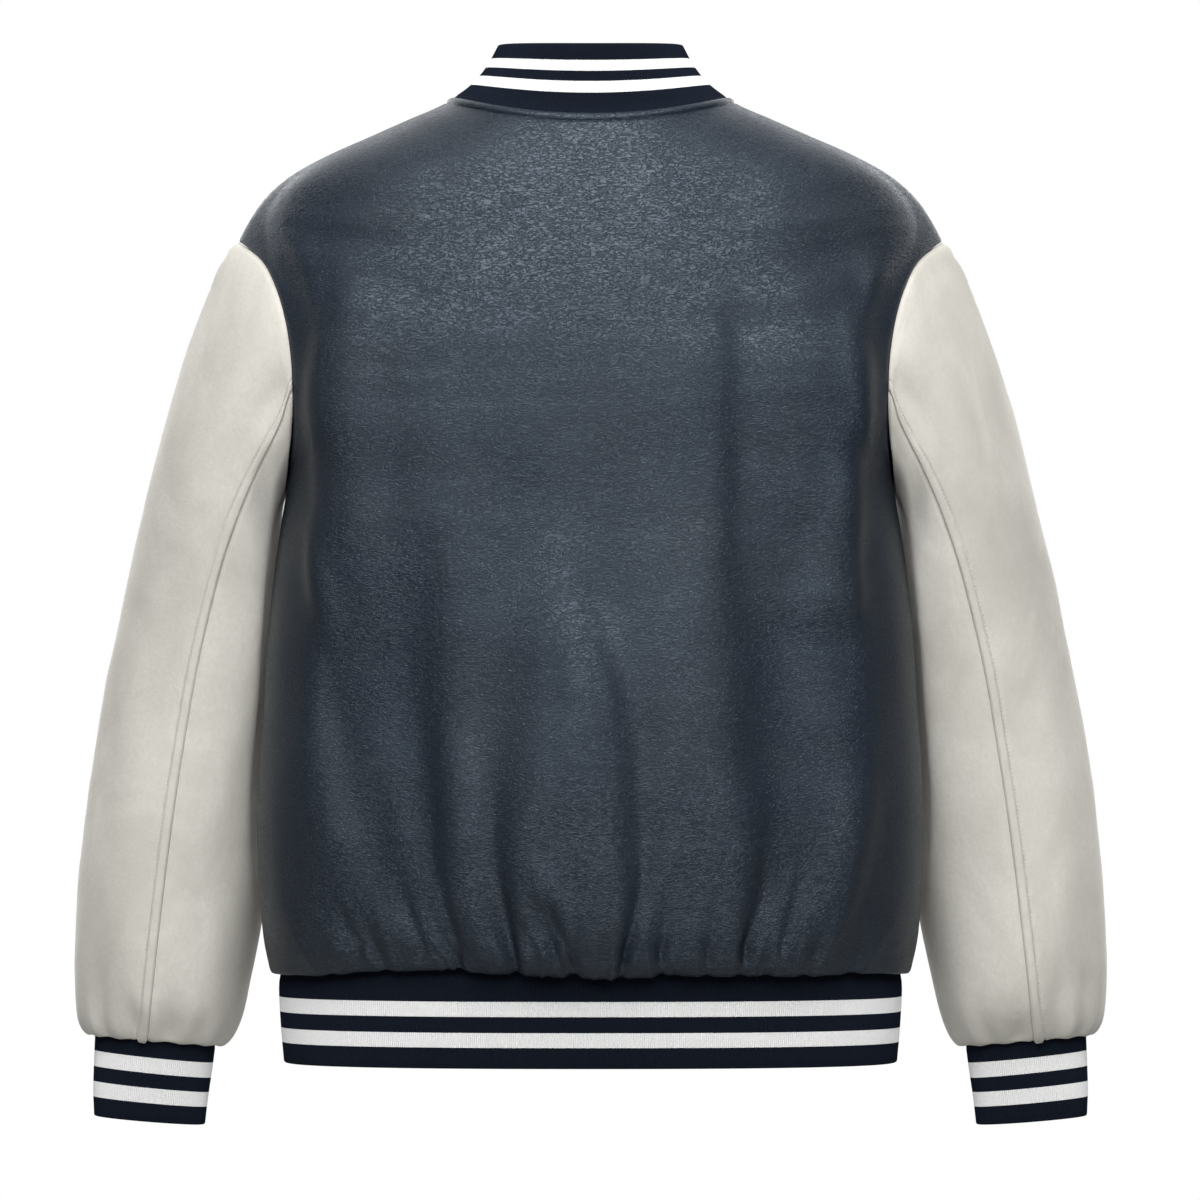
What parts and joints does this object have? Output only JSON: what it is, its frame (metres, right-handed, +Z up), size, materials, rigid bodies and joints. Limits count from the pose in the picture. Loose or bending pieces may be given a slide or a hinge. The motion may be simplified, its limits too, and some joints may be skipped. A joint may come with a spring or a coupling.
{
  "type": "varsity jacket",
  "caption": "Varsity jacket held in its worn form, with a leather body, two-piece suede sleeves, striped knit ribs at neck, hem and cuffs, and a snap front.",
  "frame": {"origin": "midway between the two side neck points, where the jacket rests on the wearer's shoulders", "axes": "+Z up, along the jacket's length; the wearer faces -Y, so the back is at +Y; +X is the wearer's left"},
  "size_m": [0.7496, 0.2872, 0.7775],
  "materials": {
    "body_leather": "satin pebbled grain, dark blue-grey",
    "sleeve_suede": "soft matte nap, light grey-beige",
    "knit_rib": "matte rib knit, dark navy with white stripes",
    "snap_metal": "satin gunmetal"
  },
  "bodies": {
    "root": {"back": "body_leather", "front_left": "body_leather", "front_right": "body_leather", "placket": "body_leather", "sleeve_upper_left": "sleeve_suede", "sleeve_upper_right": "sleeve_suede", "sleeve_under_left": "sleeve_suede", "sleeve_under_right": "sleeve_suede", "collar": "knit_rib", "hem_band": "knit_rib", "cuff_left": "knit_rib", "cuff_right": "knit_rib", "snap_1": "snap_metal", "snap_2": "snap_metal", "snap_3": "snap_metal", "snap_4": "snap_metal", "snap_5": "snap_metal", "snap_6": "snap_metal", "snap_7": "snap_metal"}
  },
  "joints": []
}
